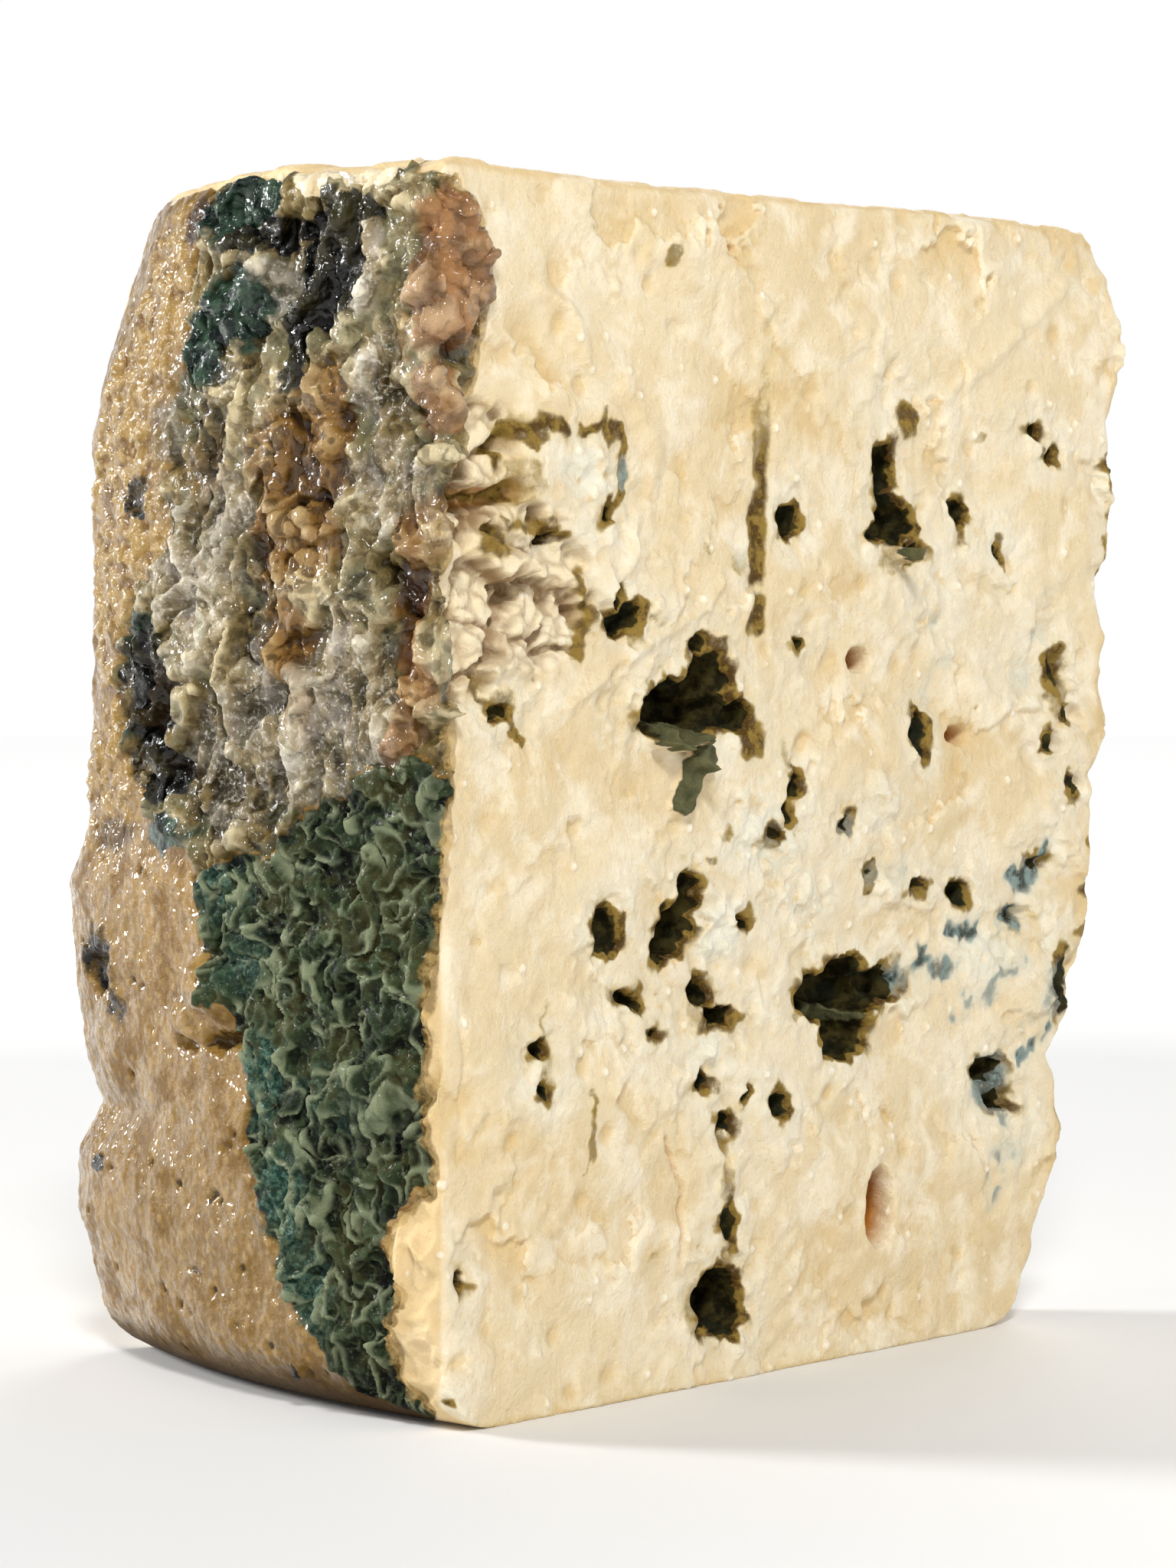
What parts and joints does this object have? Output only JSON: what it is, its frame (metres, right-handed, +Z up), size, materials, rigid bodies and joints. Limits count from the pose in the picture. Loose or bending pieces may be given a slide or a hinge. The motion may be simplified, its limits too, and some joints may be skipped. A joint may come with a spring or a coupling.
{
  "type": "blue cheese wedge",
  "caption": "Upright wedge cut from a low round blue cheese: a curved mouldy rind, two flat cut faces with open mould veins, a narrow worn end and a flat base.",
  "frame": {"origin": "middle of the footprint, on the flat base that the wedge stands on", "axes": "+Z up, along the wheel's axis; -X towards the rind; +X towards the thin end; the cut faces look towards -Y and +Y"},
  "size_m": [0.0982, 0.0563, 0.1016],
  "materials": {
    "cheese": "moist ivory paste with open blue-green mould veins; tan, wrinkled and mouldy rind"
  },
  "bodies": {
    "root": {"cheese_wedge": "cheese"}
  },
  "joints": []
}
